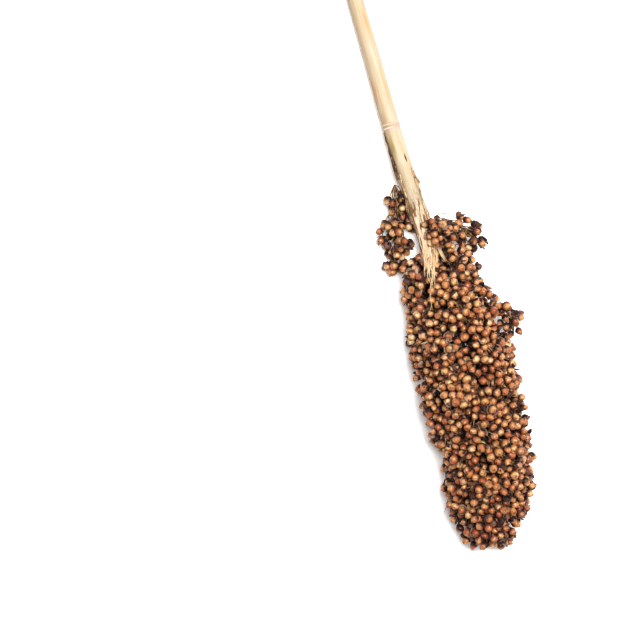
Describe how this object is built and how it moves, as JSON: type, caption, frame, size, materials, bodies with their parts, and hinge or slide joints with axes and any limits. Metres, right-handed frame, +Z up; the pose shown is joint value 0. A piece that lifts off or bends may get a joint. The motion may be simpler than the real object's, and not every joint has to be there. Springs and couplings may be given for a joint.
{
  "type": "sorghum seed head",
  "caption": "Dried sorghum seed head on its cut stalk, lying on its side: packed branches of round red-brown grains and loose sprays at the neck.",
  "frame": {"origin": "under the middle of the whole piece, on the surface that it lies on", "axes": "+Z up from the surface; +Y from the tip of the head towards the cut end of the stalk; +X to the right, seen from above with the stalk pointing away"},
  "size_m": [0.0954, 0.2888, 0.0457],
  "materials": {
    "stalk": "satin",
    "sheath": "matte",
    "grain": "satin",
    "glume": "matte",
    "twig": "matte"
  },
  "bodies": {
    "root": {"branch_1_1": "grain", "branch_1_2": "grain", "branch_1_3": "grain", "branch_1_4": "grain", "branch_1_5": "grain", "branch_2_1": "grain", "branch_2_2": "grain", "branch_2_3": "grain", "branch_2_4": "grain", "branch_2_5": "grain", "branch_2_6": "grain", "branch_3_1": "grain", "branch_3_2": "grain", "branch_3_3": "grain", "branch_3_4": "grain", "branch_3_5": "grain", "branch_3_6": "grain", "branch_4_1": "grain", "branch_4_2": "grain", "branch_4_3": "grain", "branch_4_4": "grain", "branch_4_5": "grain", "branch_4_6": "grain", "branch_5_1": "grain", "branch_5_2": "grain", "branch_5_3": "grain", "branch_5_4": "grain", "branch_5_5": "grain", "branch_5_6": "grain", "branch_6_1": "grain", "branch_6_2": "grain", "branch_6_3": "grain", "branch_6_4": "grain", "branch_6_5": "grain", "branch_6_6": "grain", "branch_7_1": "grain", "branch_7_2": "grain", "branch_7_3": "grain", "branch_7_4": "grain", "branch_7_5": "grain", "branch_8_1": "grain", "branch_8_2": "grain", "branch_8_3": "grain", "branch_8_4": "grain", "branch_9_1": "grain", "branch_9_2": "grain", "branch_9_3": "grain", "collar_spray": "grain", "hanging_spray": "grain", "loose_fibre_1": "stalk", "loose_fibre_2": "stalk", "loose_fibre_3": "stalk", "peduncle": "stalk", "sheath_strip": "sheath", "shoulder_spray": "grain", "side_spray": "grain"}
  },
  "joints": []
}
